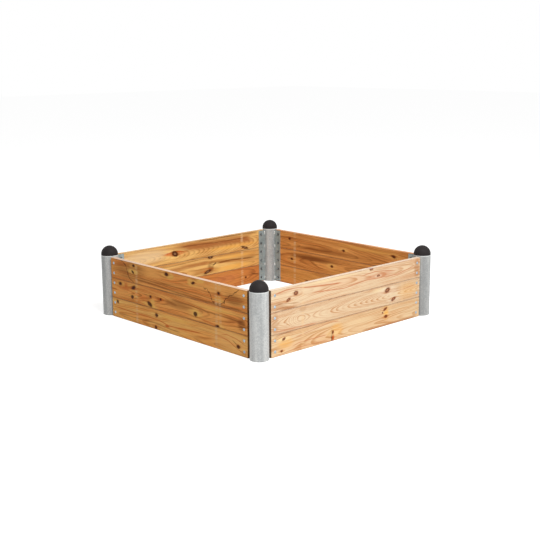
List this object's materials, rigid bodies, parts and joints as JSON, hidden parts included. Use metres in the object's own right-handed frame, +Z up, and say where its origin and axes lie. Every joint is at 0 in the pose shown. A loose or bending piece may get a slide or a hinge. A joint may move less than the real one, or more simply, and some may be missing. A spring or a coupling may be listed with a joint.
{
  "type": "raised garden bed",
  "caption": "Square bottomless raised garden bed of pine planks bolted to round galvanised corner posts with black dome caps.",
  "frame": {"origin": "centre of the square bed, on the ground that its posts and lower planks stand on", "axes": "+Z up; +X and +Y along the sides; the front side faces -Y and the right side faces +X"},
  "size_m": [1.412, 1.412, 0.4165],
  "materials": {
    "pine_board": "oiled, planed knotty pine, satin",
    "galvanised_tube": "galvanised, matte with a faint upright drawing grain",
    "galvanised_fin": "galvanised, dull with a slight blue-green cast",
    "weld_bead": "galvanised over the bead, slightly bright",
    "black_plastic_cap": "matte moulded plastic with a fine texture",
    "zinc_bolt": "bright zinc plated, slightly blue",
    "zinc_washer": "zinc plated, dulled",
    "zinc_nut": "zinc plated, dulled"
  },
  "bodies": {
    "root": {"front_left_post_tube": "galvanised_tube", "front_right_post_tube": "galvanised_tube", "back_right_post_tube": "galvanised_tube", "back_left_post_tube": "galvanised_tube", "front_left_post_front_fin": "galvanised_fin", "front_right_post_front_fin": "galvanised_fin", "front_right_post_right_fin": "galvanised_fin", "back_right_post_right_fin": "galvanised_fin", "back_right_post_back_fin": "galvanised_fin", "back_left_post_back_fin": "galvanised_fin", "back_left_post_left_fin": "galvanised_fin", "front_left_post_left_fin": "galvanised_fin", "front_left_post_welds": "weld_bead", "front_right_post_welds": "weld_bead", "back_right_post_welds": "weld_bead", "back_left_post_welds": "weld_bead", "front_left_post_cap": "black_plastic_cap", "front_right_post_cap": "black_plastic_cap", "back_right_post_cap": "black_plastic_cap", "back_left_post_cap": "black_plastic_cap", "front_board_bottom": "pine_board", "front_board_middle": "pine_board", "front_board_top": "pine_board", "right_board_bottom": "pine_board", "right_board_middle": "pine_board", "right_board_top": "pine_board", "back_board_bottom": "pine_board", "back_board_middle": "pine_board", "back_board_top": "pine_board", "left_board_bottom": "pine_board", "left_board_middle": "pine_board", "left_board_top": "pine_board", "front_left_post_front_bolts": "zinc_bolt", "front_right_post_front_bolts": "zinc_bolt", "front_right_post_right_bolts": "zinc_bolt", "back_right_post_right_bolts": "zinc_bolt", "back_right_post_back_bolts": "zinc_bolt", "back_left_post_back_bolts": "zinc_bolt", "back_left_post_left_bolts": "zinc_bolt", "front_left_post_left_bolts": "zinc_bolt", "front_left_post_front_washers": "zinc_washer", "front_right_post_front_washers": "zinc_washer", "front_right_post_right_washers": "zinc_washer", "back_right_post_right_washers": "zinc_washer", "back_right_post_back_washers": "zinc_washer", "back_left_post_back_washers": "zinc_washer", "back_left_post_left_washers": "zinc_washer", "front_left_post_left_washers": "zinc_washer", "front_left_post_front_nuts": "zinc_nut", "front_right_post_front_nuts": "zinc_nut", "front_right_post_right_nuts": "zinc_nut", "back_right_post_right_nuts": "zinc_nut", "back_right_post_back_nuts": "zinc_nut", "back_left_post_back_nuts": "zinc_nut", "back_left_post_left_nuts": "zinc_nut", "front_left_post_left_nuts": "zinc_nut"}
  },
  "joints": []
}
